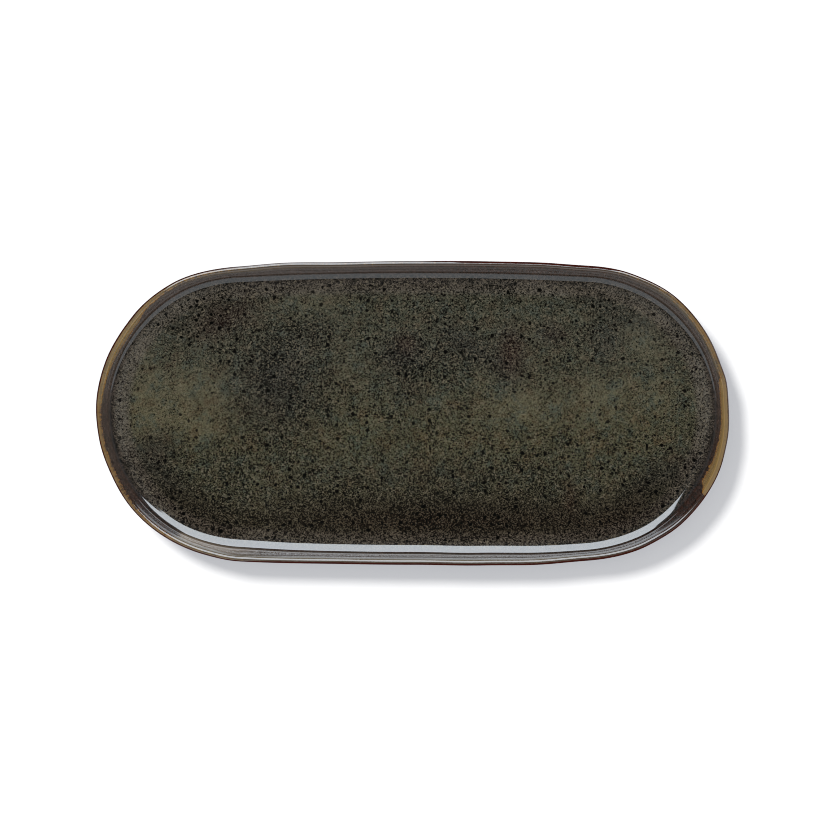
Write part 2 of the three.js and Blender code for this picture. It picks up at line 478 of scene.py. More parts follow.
IRON_CLOUDS = [
    (-92, 45, 17, 8, 20, 0.7),
    (-3, 33, 5, 5, 0, 0.8),
    (47, 29, 6, 11, 0, 1.0),
    (75, -40, 3, 8, 0, 0.6),
    (66, 38, 6, 6, 0, 0.4),
    (18, -52.5, 112, 9, 0, 0.25),
]
CLOUD_LIMIT = 1.8


def cloud_cover(clouds, x, y):
    """Sum of soft ovals, up to a limit: each falls off as the bell curve of the distance in half-sizes."""
    total = np.zeros_like(x)
    for cloud_x, cloud_y, half_long, half_wide, tilt, strength in clouds:
        along = np.array([math.cos(math.radians(tilt)), math.sin(math.radians(tilt))])
        u = ((x - cloud_x) * along[0] + (y - cloud_y) * along[1]) / half_long
        v = ((y - cloud_y) * along[0] - (x - cloud_x) * along[1]) / half_wide
        total += strength * np.exp(-(u * u + v * v))
    return np.minimum(total, CLOUD_LIMIT)


def cloud_values(places):
    """For each vertex: how much light, dark and iron cloud lies over it."""
    x, y = places[..., 0], places[..., 1]
    return np.stack([cloud_cover(c, x, y) for c in (LIGHT_CLOUDS, DARK_CLOUDS_AND_SHADE, IRON_CLOUDS)], axis=-1)


print(len(LIGHT_CLOUDS), "light,", len(DARK_CLOUDS_AND_SHADE), "dark and", len(IRON_CLOUDS), "iron clouds")

# %% [markdown]
# ## The coats as meshes
#
# A coat is its face and its back, a skin's depth apart. Rows lie closer where the section bends. Each
# coat stops where the packed coat stops, so the pieces can be told apart even though the gloss runs on.

# %% Wall and lip coats
FACE_GAP = 0.02
SEAM_ROWS = 3
COVE_ROWS = 30
WALL_ROWS = 10
LIP_ROWS = 30
LIP_BAND_ROWS = 5


def ring_coat(name, distances):
    """A ring of glaze: the skin along the distances, then the same skin a glaze deeper, coming back."""
    face = carry(*skin(distances))
    back_places, back_normals = carry(*skin(distances[::-1], GLAZE))
    places = np.concatenate([face[0], back_places])
    normals = np.concatenate([face[1], -back_normals])
    run = np.concatenate([distances, distances[::-1]])
    piece = make_piece(name, places, normals, ring=True)
    give(piece, "rim", rim_values(run))
    give(piece, "breaks", break_values_at(run))
    give(piece, "clouds", cloud_values(places))
    return piece


wall_rows = np.concatenate([
    np.linspace(FLOOR_SEAM - FACE_GAP, COVE_FOOT, SEAM_ROWS, endpoint=False),
    np.linspace(COVE_FOOT, COVE_TOP, COVE_ROWS, endpoint=False),
    np.linspace(COVE_TOP, LIP_SEAM_INSIDE, WALL_ROWS),
])
lip_rows = np.concatenate([
    np.linspace(LIP_SEAM_INSIDE - FACE_GAP, LIP_INSIDE, LIP_BAND_ROWS, endpoint=False),
    np.linspace(LIP_INSIDE, LIP_OUTSIDE, LIP_ROWS, endpoint=False),
    np.linspace(LIP_OUTSIDE, LIP_SEAM_OUTSIDE + FACE_GAP, LIP_BAND_ROWS),
])
wall_coat = ring_coat("wall_coat", wall_rows)
lip_coat = ring_coat("lip_coat", lip_rows)
join_up(wall_coat, "wall_glaze")
join_up(lip_coat, "lip_glaze")

# %% [markdown]
# The outer coat ends under the plate, where the potter wiped the glaze away from the foot so that it
# wouldn't stick to the kiln shelf. Molten glaze draws back into a rounded edge, and a sponge never wipes
# a dead straight line, so the edge is a quarter round and wanders a little.

# %% Outer coat with its wiped edge
EDGE_ROWS = 6
OUTER_WALL_ROWS = 14
HEEL_ROWS = 20
RUN_ROWS = 5
wiped_edge = waves_round([(0.35, 5, 0.4), (0.2, 13, 1.9), (0.12, 29, 0.0)])

outer_rows = np.concatenate([
    np.linspace(LIP_SEAM_OUTSIDE, HEEL_TOP, OUTER_WALL_ROWS, endpoint=False),
    np.linspace(HEEL_TOP, HEEL_FOOT, HEEL_ROWS, endpoint=False),
    np.linspace(HEEL_FOOT, GLAZE_LINE + GLAZE, RUN_ROWS),
])
face_places, face_normals = carry(*skin(outer_rows))
quarter = np.radians(np.linspace(0, 90, EDGE_ROWS + 1)[1:])
edge_inset = skin(outer_rows[-1:])[0][0] + GLAZE * np.sin(quarter)
edge_height = UNDERSIDE_HEIGHT + GLAZE * (1 - np.cos(quarter))
edge_normal = np.stack([np.sin(quarter), -np.cos(quarter)], axis=-1)
edge_places, edge_normals = carry(edge_inset, edge_height, edge_normal)
back_places, back_normals = carry(*skin(outer_rows[::-1], GLAZE))

run_share = np.linspace(0, 1, RUN_ROWS)[:, None]
face_places[-RUN_ROWS:, :, :2] -= (run_share * wiped_edge)[..., None] * outward
edge_places[..., :2] -= wiped_edge[:, None] * outward
back_places[:RUN_ROWS, :, :2] -= (run_share[::-1] * wiped_edge)[..., None] * outward

outer_run = np.concatenate([outer_rows, outer_rows[-1] - GLAZE * quarter, outer_rows[::-1]])
outer_places = np.concatenate([face_places, edge_places, back_places])
outer_normals = np.concatenate([face_normals, edge_normals, -back_normals])
outer_coat = make_piece("outer_coat", outer_places, outer_normals, ring=True)
give(outer_coat, "rim", rim_values(outer_run))
give(outer_coat, "breaks", break_values_at(outer_run))
join_up(outer_coat, "outer_glaze")

# %% [markdown]
# ## Floor and base
#
# The two flat coats are discs. Their rows run from the edge towards the middle line of the plate, each
# point straight towards its own spot on that line, so no quad is pinched. The floor sags by a tenth of a
# millimetre here and there, as fired clay does.

# %% Floor disc
SPINE_GAP = 0.03
FLOOR_DISC_ROWS = 36
SAG = 0.06


def disc_rows(edge_places, rows):
    """Rows from near the middle line out to an edge row: a straight blend from the line to the edge."""
    share = np.linspace(SPINE_GAP, 1, rows)[:, None, None]
    spine = np.stack([spine_x, np.zeros(COLUMNS), edge_places[:, 2]], axis=-1)
    return spine + (edge_places - spine) * share


def settle(places):
    """Sag of the floor in mm: two long waves, which fade out towards the edge of the disc."""
    x, y = places[..., 0], places[..., 1]
    fade = np.linspace(1, 0, len(places))[:, None]
    return SAG * fade * (np.sin(x / 31 + 0.8) * np.cos(y / 17 - 0.4) + 0.6 * np.sin(x / 13 - y / 19))


def flat_normals(places, up):
    """Normals that all point up, with 1, or down, with -1."""
    return np.zeros_like(places) + np.array([0.0, 0.0, up])


edge_row = carry(*skin([FLOOR_SEAM]))[0][0]
floor_face = disc_rows(edge_row, FLOOR_DISC_ROWS)
floor_back = floor_face[::-1] - np.array([0, 0, GLAZE])
floor_face[..., 2] += settle(floor_face)
floor_places = np.concatenate([floor_face, floor_back])
floor_normals = np.concatenate([flat_normals(floor_face, 1), flat_normals(floor_back, -1)])
floor_coat = make_piece("floor_coat", floor_places, floor_normals, ring=False)

floor_run = FLOOR_SEAM + np.linalg.norm(edge_row[:, :2] - floor_places[..., :2], axis=-1)
floor_rim = rim_values(np.zeros(len(floor_places)))
floor_rim[..., 2] = floor_run
give(floor_coat, "rim", floor_rim)
give(floor_coat, "clouds", cloud_values(floor_places))
join_up(floor_coat, "floor_glaze")

# %% [markdown]
# The base coat is a disc too, seen from below. Its edge was sponged clear of the foot, so it is a quarter
# round and wanders as the outer coat's does.

# %% Base disc with its wiped edge
FOOT_OUTER_INSET = skin([GLAZE_LINE])[0][0] + BARE_STRIP
FOOT_INNER_INSET = FOOT_OUTER_INSET + FOOT_WIDTH
BASE_EDGE_INSET = FOOT_INNER_INSET + BARE_STRIP
BASE_BACK_ROWS = 10
BASE_FACE_ROWS = 18
base_wiped_edge = waves_round([(0.3, 7, 2.2), (0.2, 11, 0.0), (0.1, 31, 1.0)])

base_quarter = quarter[::-1]
base_edge_inset = BASE_EDGE_INSET + GLAZE * (1 - np.sin(base_quarter))
base_edge_height = UNDERSIDE_HEIGHT + GLAZE * (1 - np.cos(base_quarter))
base_edge_normal = np.stack([-np.sin(base_quarter), -np.cos(base_quarter)], axis=-1)
base_edge, base_edge_normals = carry(base_edge_inset, base_edge_height, base_edge_normal)
base_edge[..., :2] -= base_wiped_edge[:, None] * outward
base_lowest = base_edge[-1] - np.array([0, 0, GLAZE * (1 - math.cos(quarter[0]))])
base_back = disc_rows(base_edge[0], BASE_BACK_ROWS)
base_face = disc_rows(base_lowest, BASE_FACE_ROWS)[::-1]
base_places = np.concatenate([base_back[:-1], base_edge, base_face[1:]])
base_normals = np.concatenate([
    flat_normals(base_back[:-1], 1),
    base_edge_normals,
    flat_normals(base_face[1:], -1),
])
base_coat = make_piece("base_coat", base_places, base_normals, ring=False)
join_up(base_coat, "base_glaze")

# %% [markdown]
# ## The clay under it
#
# The clay body follows the skin a coat's depth down. Only the foot ring and the strips beside it stay
# bare. The foot is walked like the rest of the section: down its outer side, round two soft edges and up
# its inner side.

# %% Foot ring
ROOT_RADIUS = 0.4
foot_flat = FOOT_WIDTH - 2 * FOOT_EDGE
foot_side = UNDERSIDE_HEIGHT + COAT - FOOT_EDGE - ROOT_RADIUS
strip_start = skin([HEEL_FOOT], COAT)[0][0]
quarter_root = ROOT_RADIUS * math.pi / 2
quarter_edge = FOOT_EDGE * math.pi / 2
# Length of each stretch, and the heading at its end in degrees.
FOOT_STRETCHES = [
    (FOOT_OUTER_INSET - ROOT_RADIUS - strip_start, 0),
    (quarter_root, -90),
    (foot_side, -90),
    (quarter_edge, 0),
    (foot_flat, 0),
    (quarter_edge, 90),
    (foot_side, 90),
    (quarter_root, 0),
]
foot_ends = np.cumsum([0] + [length for length, _ in FOOT_STRETCHES])
foot_walk = list(zip(foot_ends, [0] + [heading for _, heading in FOOT_STRETCHES]))
FOOT_ROWS = [3, 4, 3, 6, 5, 6, 3, 4]
foot_at = np.concatenate([
    np.linspace(a, b, n, endpoint=False) for a, b, n in zip(foot_ends[:-1], foot_ends[1:], FOOT_ROWS)
] + [foot_ends[-1:]])
foot_inset, foot_height, foot_heading = walk(foot_walk, foot_at, (strip_start, UNDERSIDE_HEIGHT + COAT))
foot_normal = np.stack([np.sin(foot_heading), -np.cos(foot_heading)], axis=-1)
print(f"foot ring stands {foot_height.max() - foot_height.min():.2f} mm proud, {FOOT_WIDTH:.1f} mm wide")

# %% [markdown]
# The body is a disc whose rows go all the way round: from the middle of the floor out under the coats,
# over the lip, down to the foot and back to the middle underneath. It needs fewer rows than the coats
# that hide it.

# %% Clay body
CLAY_DISC_ROWS = 8
clay_outer_rows = outer_rows[:OUTER_WALL_ROWS + HEEL_ROWS]
clay_skin_rows = np.concatenate([wall_rows[SEAM_ROWS::2], lip_rows[1::3], clay_outer_rows[::2]])
clay_top = carry(*skin(clay_skin_rows, COAT))
clay_foot = carry(foot_inset, foot_height, foot_normal)
clay_floor = disc_rows(clay_top[0][0], CLAY_DISC_ROWS)[:-1]
clay_base = disc_rows(clay_foot[0][-1], CLAY_DISC_ROWS)[:-1][::-1]
clay_places = np.concatenate([clay_floor, clay_top[0], clay_foot[0], clay_base])
clay_normals = np.concatenate([
    flat_normals(clay_floor, 1),
    clay_top[1],
    clay_foot[1],
    flat_normals(clay_base, -1),
])
clay_body = make_piece("clay_body", clay_places, clay_normals, ring=False)
join_up(clay_body, "stoneware_body")

# %% [markdown]
# ## Writing a finish as arithmetic
#
# A node tree is easier to read as an expression than as a list of links. A wire is an output socket that
# knows how to add, subtract and multiply, and a tree makes any other node in one call.

# %% Wires and trees


class Wire:
    """An output socket of a tree. Arithmetic with numbers or other wires adds Math nodes."""

    def __init__(self, owner, socket):
        self.owner = owner
        self.socket = socket

    def __add__(self, other):
        return self.owner.math("ADD", self, other)

    def __radd__(self, other):
        return self.owner.math("ADD", other, self)

    def __sub__(self, other):
        return self.owner.math("SUBTRACT", self, other)

    def __rsub__(self, other):
        return self.owner.math("SUBTRACT", other, self)

    def __mul__(self, other):
        return self.owner.math("MULTIPLY", self, other)

    def __rmul__(self, other):
        return self.owner.math("MULTIPLY", other, self)


class Tree:
    """A node tree in the making."""

    def __init__(self, tree):
        self.tree = tree

    def node(self, kind, settings=None, inputs=None, output=0):
        """Adds a node: its settings first, then a number, a colour or a wire for each input."""
        made = self.tree.nodes.new(kind)
        for name, value in (settings or {}).items():
            setattr(made, name, value)
        for name, value in (inputs or {}).items():
            self.feed(made.inputs[name], value)
        return Wire(self, made.outputs[output]) if made.outputs else made

    def feed(self, socket, value):
        """Links a wire to a socket, or sets the socket to a number or a colour."""
        if isinstance(value, Wire):
            self.tree.links.new(value.socket, socket)
        else:
            socket.default_value = value

    def math(self, operation, *values):
        """A Math node of an operation on numbers or wires."""
        return self.node("ShaderNodeMath", {"operation": operation}, dict(enumerate(values)))

    def parts(self, vector):
        """The three numbers of a vector, or the three channels of a colour."""
        first = self.node("ShaderNodeSeparateXYZ", None, {0: vector})
        return [Wire(self, socket) for socket in first.socket.node.outputs]

    def ramp(self, value, low, high):
        """Smooth step from 0 at low to 1 at high."""
        inputs = {"Value": value, "From Min": low, "From Max": high}
        return self.node("ShaderNodeMapRange", {"interpolation_type": "SMOOTHSTEP"}, inputs)


print("a tree offers:", ", ".join(name for name in vars(Tree) if not name.startswith("_")))

# %% [markdown]
# A finish is a material with one Principled shader and the patterns that a glaze needs: cloudy noise, a
# patchwork of cells and scattered dots. They are worked out where they are seen, so they stay sharp close
# up, which a painted picture wouldn't. Colours go through Mix nodes, because a Math node would turn them
# grey.

# %% Finishes
PEEL_SIZE = 9


class Finish(Tree):
    """A material in the making, with one Principled shader."""

    def __init__(self, name, **constants):
        self.material = bpy.data.materials.new(name)
        self.material.use_nodes = True
        super().__init__(self.material.node_tree)
        self.shader = self.tree.nodes["Principled BSDF"]
        for socket, value in constants.items():
            self.shader.inputs[socket.replace("_", " ")].default_value = value

    def attribute(self, name):
        """The three numbers that a mesh stores for each vertex under a name."""
        return self.node("ShaderNodeAttribute", {"attribute_name": name}, output="Vector")

    def run(self):
        """Distance from the top of the lip in mm: positive into the well, negative down the outside."""
        return self.parts(self.attribute("rim"))[2]

    def stretch(self, vector, *sizes):
        """A vector counted in the sizes given, so that a pattern is as long as its size along each axis."""
        scale = [1 / size for size in sizes]
        return self.node("ShaderNodeVectorMath", {"operation": "MULTIPLY"}, {0: vector, 1: scale})

    def spread(self, size):
        """Places on the plate, counted in steps of a size in millimetres."""
        place = self.node("ShaderNodeTexCoord", output="Object")
        return self.stretch(place, size * MM, size * MM, size * MM)

    def noise(self, vector, detail=2.0, roughness=0.5):
        """Cloudy noise from about -0.5 to 0.5, with features one unit across."""
        inputs = {"Vector": vector, "Scale": 1.0, "Detail": detail, "Roughness": roughness}
        return self.node("ShaderNodeTexNoise", {"noise_dimensions": "3D"}, inputs) - 0.5

    def cells(self, vector):
        """A patchwork of cells about one unit across, each with its own value from -0.5 to 0.5."""
        settings = {"voronoi_dimensions": "2D"}
        colour = self.node("ShaderNodeTexVoronoi", settings, {"Vector": vector, "Scale": 1.0}, "Color")
        return self.parts(colour)[0] - 0.5

    def dots(self, vector, presence, radius, softness, ragged=0.0):
        """Dots, at most one to a unit cell: 1 inside a dot and 0 outside. Their sizes vary by cell."""
        settings = {"voronoi_dimensions": "2D"}
        away = self.node("ShaderNodeTexVoronoi", settings, {"Vector": vector, "Scale": 1.0}, "Distance")
        chance, size, _ = self.parts(Wire(self, away.socket.node.outputs["Color"]))
        edge = (size * 0.7 + 0.3) * radius - away + ragged
        there = self.ramp(presence - chance, -0.02, 0.02)
        return self.ramp(edge, -softness, softness) * there

    def mix(self, share, first, second):
        """The first colour where share is 0, and the second where it is 1."""
        return self.node("ShaderNodeMix", {"data_type": "RGBA"}, {0: share, 6: first, 7: second}, output=2)

    def peel(self, detail=0):
        """Slow unevenness of a fired glaze, which follows the surface round the lip."""
        size = [PEEL_SIZE] * 3
        return self.noise(self.stretch(self.attribute("rim"), *size), detail=detail)

    def relief(self, height, millimetres):
        """A bump that rises by so many millimetres for each unit of height."""
        inputs = {"Height": height, "Distance": millimetres * MM, "Strength": 1.0}
        return self.node("ShaderNodeBump", None, inputs)

    def paint(self, colour, roughness, normal):
        """Feeds the shader and gives the finished material."""
        self.feed(self.shader.inputs["Base Color"], colour)
        self.feed(self.shader.inputs["Roughness"], roughness)
        self.feed(self.shader.inputs["Normal"], normal)
        return self.material


print("a finish adds:", ", ".join(name for name in vars(Finish) if not name.startswith("_")))

# %% [markdown]
# A colour read off a picture is what the light made of the glaze, not the glaze itself. So each colour is
# divided by the level of the light that falls there: the floor faces the soft light overhead, and the
# upright wall gets less than half of it.

# %% Fired colours
LIGHT_LEVEL = 1.33
WALL_LIGHT = 0.53
GLAZE_IOR = 1.6


def fired(red, green, blue, level=LIGHT_LEVEL):
    """Reflectance that shows as a colour in the studio: its 0 to 255 values made linear, over the light."""
    share = np.array([red, green, blue]) / 255
    linear = np.where(share <= 0.04045, share / 12.92, ((share + 0.055) / 1.055) ** 2.4)
    return (*(linear / level), 1.0)


print("middle grey reflects", round(float(fired(118, 118, 118)[0]), 3))

# %% [markdown]
# ## Floor finish
#
# Close up, the floor is a fine olive network over near-black specks. Where the network is dense the floor
# looks ochre, and where it is thin it looks dark. So the clouds shift how much of it there is, not only
# its colour. These are the colours of the network, of the specks, and of what lies on top.

# %% Colours of the floor
OLIVE = fired(90, 89, 70)
OCHRE = fired(108, 104, 82)
WARM_OLIVE = fired(99, 87, 66)
SAGE = fired(81, 89, 79)
DUSK_GREY = fired(75, 72, 67)
DUSK_OLIVE = fired(78, 73, 60)
BELT_BROWN = fired(62, 54, 44)
IRON_BROWN = fired(88, 65, 53)
# Grey-blue of the painted reflection haze on the far half.
SLATE_HAZE_REFLECTION = fired(86, 90, 88)
RING_GREY = fired(112, 107, 99)
RING_BROWN = fired(103, 93, 83)
COVE_BROWN = fired(70, 58, 52)
SPECK_BLACK = fired(10, 10, 7)
SPECK_RED = fired(20, 9, 6)
SPECK_DEEPEST = fired(3, 2, 1)
GLINT = fired(126, 118, 102)
SPOT_BLACK = fired(4, 4, 3)
print(f"green light reflected: olive {OLIVE[1]:.3f}, ochre {OCHRE[1]:.3f}, black spots {SPOT_BLACK[1]:.4f}")

# %% [markdown]
# The pattern is built from coarse to fine: drifts and patches thin the network out, grains and cells cut
# the specks into it, and larger black dots are scattered over that. A greyer ring follows the wall, and a
# dark belt lies along the near side. A grey-blue cast over the far half is a painted reflection haze.

# %% Floor glaze


def floor_pattern(finish):
    """Colour of the floor glaze: an olive network over near-black specks, under glints and black spots."""
    light, dark, iron = finish.parts(finish.attribute("clouds"))
    run = finish.run()
    ring = finish.ramp(run, COVE_FOOT + 7, COVE_FOOT + 3)
    cove = finish.ramp(run, COVE_FOOT + 0.5, COVE_FOOT - 5)
    across = finish.parts(finish.spread(1))[1]
    far_haze = finish.ramp(across, -15, 35)
    near = finish.ramp(across, -22, -42)

    drift = finish.noise(finish.spread(22), detail=3)
    patch = finish.noise(finish.spread(5.5), detail=2, roughness=0.6)
    clump = finish.noise(finish.spread(2.3), detail=1)
    tint = finish.noise(finish.spread(2.0), detail=1) * 0.7
    tint = tint + finish.noise(finish.spread(9), detail=2) * 0.9
    grain = finish.noise(finish.spread(1.0), detail=2, roughness=0.7)
    salt = finish.cells(finish.spread(0.46))
    glint = finish.cells(finish.spread(0.62))

    shade = finish.math("MINIMUM", dark, 1)
    deepest = finish.ramp(dark, 0.9, CLOUD_LIMIT)
    thin = patch * (0.3 - deepest * 0.15) + drift * 0.18 + shade * 0.1 - light * 0.08 + cove * 0.05
    contrast = 1 - light * 0.3 - shade * 0.1 + deepest * 0.4
    specks = finish.ramp((grain * 0.6 + salt * 0.5) * contrast + thin, -0.42, 0.34)
    clots = finish.ramp(clump + thin * 0.6, 0.1, 0.24) * 0.4
    hollow = finish.math("MAXIMUM", specks, clots)

    network = finish.mix(finish.ramp(light + drift, 0.1, 0.9), OLIVE, OCHRE)
    network = finish.mix(finish.ramp(tint, 0.0, 0.25) * 0.8, network, WARM_OLIVE)
    network = finish.mix(finish.ramp(tint, 0.0, -0.25) * 0.8, network, SAGE)
    network = finish.mix(shade * 0.9, network, finish.mix(near, DUSK_GREY, DUSK_OLIVE))
    network = finish.mix(deepest * 0.75, network, BELT_BROWN)
    network = finish.mix(iron * 0.7, network, IRON_BROWN)
    # Painted reflection haze: the far half turns grey-blue.
    network = finish.mix(far_haze * 0.27, network, SLATE_HAZE_REFLECTION)
    network = finish.mix(ring * 0.9, network, finish.mix(shade, RING_GREY, RING_BROWN))
    network = finish.mix(cove, network, COVE_BROWN)
    speck = finish.mix(iron, SPECK_BLACK, SPECK_RED)
    speck = finish.mix(deepest, speck, SPECK_DEEPEST)
    colour = finish.mix(hollow, network, speck)
    dim = finish.ramp(dark, 0.4, 1.4) * 0.6
    glints = finish.ramp(glint, 0.3, 0.5) * (1 - light * 0.3) * (1 - dim) * (1 - cove)
    colour = finish.mix(glints * 0.5, colour, GLINT)

    more = shade * 0.1 + deepest * 0.2
    blots = finish.dots(finish.spread(3.7), 0.34 - light * 0.15 + more, 0.22, 0.08, clump * 0.7)
    freckles = finish.dots(finish.spread(1.9), 0.32 - light * 0.12 + more, 0.26, 0.1, grain * 0.7)
    spots = finish.math("MAXIMUM", blots, freckles) * (1 - light * 0.2) * (1 - cove)
    return finish.mix(spots, colour, SPOT_BLACK)


def floor_finish():
    """Speckled olive glaze, smooth enough that its black stays black."""
    finish = Finish("speckled olive glaze", IOR=GLAZE_IOR)
    peel = finish.noise(finish.spread(6), detail=0)
    return finish.paint(floor_pattern(finish), 0.03, finish.relief(peel, 0.02))


floor_coat.data.materials.append(floor_finish())
print("floor:", len(floor_coat.data.materials[0].node_tree.nodes), "nodes")

# %% [markdown]
# ## Amber and oxblood
#
# A reactive glaze breaks where it runs thin over an edge. Here it breaks to amber, most orange along the
# lower edge of each run, and the outermost line of the lip is a dry oxblood. A painted stripe would have
# an even edge. Noise that follows the lip makes this one ragged, and the breaks stored on the mesh say
# how far it goes.

# %% Broken glaze of the lip
TOP_AMBER_EDGE = fired(126, 98, 60)
TOP_AMBER = fired(138, 116, 82)
WALL_AMBER_EDGE = fired(134, 92, 38, WALL_LIGHT)
WALL_AMBER = fired(134, 109, 66, WALL_LIGHT)
TOP_SMOKE = fired(100, 90, 72)
WALL_SMOKE = fired(86, 77, 60, WALL_LIGHT)
RUSSET = fired(66, 48, 40)
OXBLOOD = fired(62, 26, 20)


def lip_pattern(finish, under):
    """The colour under it, broken to amber and oxblood as the lip's breaks say, and how dry it is."""
    rim = finish.attribute("rim")
    run = finish.run()
    inside, light, oxblood = finish.parts(finish.attribute("breaks"))
    ragged = finish.noise(finish.stretch(rim, 2.4, 2.4, 3), detail=4, roughness=0.7)
    comb = finish.noise(finish.stretch(rim, 0.9, 0.9, 5), detail=2)
    streaks = finish.noise(finish.stretch(rim, 14, 14, 0.9), detail=3, roughness=0.6)

    depth = inside + ragged * 5.0 + comb * 3.5
    amber_share = finish.ramp(depth, -0.4, 0.8) * finish.ramp(run + ragged * 5, -4.0, -2.0)
    paler = finish.ramp(depth + streaks * 4, 0.2, 3.0)
    steep = finish.ramp(run, 0.6, LIP_INSIDE)
    top_amber = finish.mix(paler, TOP_AMBER_EDGE, TOP_AMBER)
    wall_amber = finish.mix(paler, WALL_AMBER_EDGE, WALL_AMBER)
    amber = finish.mix(steep, top_amber, wall_amber)
    smoky = finish.ramp(streaks + comb * 0.6 + light * 0.25 - 0.12, 0.0, 0.3)
    amber = finish.mix(smoky * 0.7, amber, finish.mix(steep, TOP_SMOKE, WALL_SMOKE))
    colour = finish.mix(amber_share * 0.92, under, amber)

    wider = finish.ramp(oxblood, 0.85, 1.0) * 0.4
    edge = finish.ramp(run + ragged * 0.5 - wider, -0.55, -0.85)
    edge = edge * finish.ramp(run + ragged * 5, -4.4, -2.2)
    dry = edge * finish.ramp(oxblood, 0.2, 0.55)
    return finish.mix(edge, colour, finish.mix(oxblood, RUSSET, OXBLOOD)), dry


print(f"oxblood reflects {OXBLOOD[0]:.3f} of red light and {OXBLOOD[2]:.3f} of blue")

# %% [markdown]
# ## Outside
#
# The outside is plain dark brown with soft runs, paler and greener at the heel, where the glaze
# pooled. The lip's breaks lie over it, so that nothing stops short at the seam with the lip coat.

# %% Outer glaze
OUTER_DARK = fired(48, 30, 24)
OUTER_BROWN = fired(84, 62, 48)
HEEL_BROWN = fired(70, 58, 46)


def outer_pattern(finish):
    """Colour of the brown outside: soft runs down the wall, and a paler, greener heel."""
    rim = finish.attribute("rim")
    runs = finish.noise(finish.stretch(rim, 4, 4, 16), detail=4, roughness=0.6)
    grain = finish.noise(finish.stretch(rim, 0.9, 0.9, 0.9), detail=2)
    brown = finish.mix(finish.ramp(runs + grain * 0.5, -0.25, 0.35), OUTER_DARK, OUTER_BROWN)
    low = finish.ramp(finish.run() + runs * 8, HEEL_TOP, HEEL_FOOT)
    return finish.mix(low * 0.6, brown, HEEL_BROWN)


def outer_finish():
    """Dark brown glaze, less smooth than inside."""
    finish = Finish("dark brown outer glaze", IOR=GLAZE_IOR)
    colour, _ = lip_pattern(finish, outer_pattern(finish))
    return finish.paint(colour, 0.1, finish.relief(finish.peel(detail=1), 0.04))


outer_coat.data.materials.append(outer_finish())
print("outside:", len(outer_coat.data.materials[0].node_tree.nodes), "nodes")

# %% [markdown]
# ## Wall
#
# On the inner wall the glaze is a dark aubergine brown that ran down in fine drips. It goes from near
# black to taupe round the plate. At the near left, and faintly along the near side, painted beige stands in
# for the wall's pale reflection. At its foot it meets the floor's own pattern, so no line shows in the
# cove.
# A clear coat over it gives the sharp gloss.

# %% Wall glaze
WALL_BLACK = fired(8, 4, 3, WALL_LIGHT)
WALL_TAUPE = fired(60, 52, 48, WALL_LIGHT)
DRIP_RED = fired(56, 32, 24, WALL_LIGHT)
DRIP_TAUPE = fired(78, 68, 63, WALL_LIGHT)
# Beige that paints the pale reflection on the near wall.
PAINTED_BEIGE_REFLECTION = fired(156, 142, 126, WALL_LIGHT)
HIGH_OLIVE = fired(88, 80, 66, WALL_LIGHT)
TOP_BROWN = fired(58, 44, 38)
TOP_TAUPE = fired(84, 74, 64)


def wall_pattern(finish):
    """Wall colour: fine drips from near black to taupe, a painted beige reflection, and olive below the
    lip.
    """
    rim = finish.attribute("rim")
    run = finish.run()
    light = finish.parts(finish.attribute("breaks"))[1]
    drips = finish.noise(finish.stretch(rim, 1.6, 1.6, 9), detail=3, roughness=0.6)
    streaks = finish.noise(finish.stretch(rim, 13, 13, 1.1), detail=3, roughness=0.6)
    flecks = finish.noise(finish.stretch(rim, 0.9, 0.9, 2.6), detail=2, roughness=0.6)
    salt = finish.cells(finish.spread(0.6))
    deep = finish.mix(light, WALL_BLACK, WALL_TAUPE)
    shallow = finish.mix(light, DRIP_RED, DRIP_TAUPE)
    mottle = drips * 0.7 + streaks * 0.15 + flecks * 1.2 + salt * 0.4
    brown = finish.mix(finish.ramp(mottle, -0.3, 0.3), deep, shallow)
    # Painted reflection: beige where the lightness goes above 1.
    brown = finish.mix(finish.ramp(light, 1.0, 2.0), brown, PAINTED_BEIGE_REFLECTION)
    high = finish.ramp(run + streaks * 2 + drips * 3, LIP_INSIDE + 4, LIP_INSIDE)
    brown = finish.mix(high * finish.ramp(light, 0.6, 1.0), brown, HIGH_OLIVE)
    top = finish.mix(light, TOP_BROWN, TOP_TAUPE)
    return finish.mix(finish.ramp(run, LIP_INSIDE, 0.4), brown, top)


def wall_finish():
    """Brown wall glaze under a clear coat: rippled where it stands upright, smooth in the cove."""
    clear = {"Coat_Weight": 1.0, "Coat_IOR": GLAZE_IOR, "Coat_Roughness": 0.08}
    finish = Finish("aubergine brown wall glaze", IOR=GLAZE_IOR, **clear)
    run = finish.run()
    wall_share = finish.ramp(run, COVE_TOP + 4.5, COVE_TOP - 0.5)
    under = finish.mix(wall_share, floor_pattern(finish), wall_pattern(finish))
    colour, _ = lip_pattern(finish, under)
    upright = finish.ramp(run, COVE_TOP + 1.5, COVE_TOP)
    ripple = finish.noise(finish.stretch(finish.attribute("rim"), 0.5, 0.5, 0.5), detail=0)
    height = finish.peel() + ripple * upright * 3.0
    return finish.paint(colour, 0.05 + upright * 0.2, finish.relief(height, 0.02))


wall_coat.data.materials.append(wall_finish())
print("wall:", len(wall_coat.data.materials[0].node_tree.nodes), "nodes")

# %% [markdown]
# ## Lip
#
# The lip coat carries the wall's brown over to the outside's. Its gloss is all in the clear coat, which
# is thinner on the outside and missing where the oxblood is dry, so the edge stays dark and matt.

# %% Lip glaze


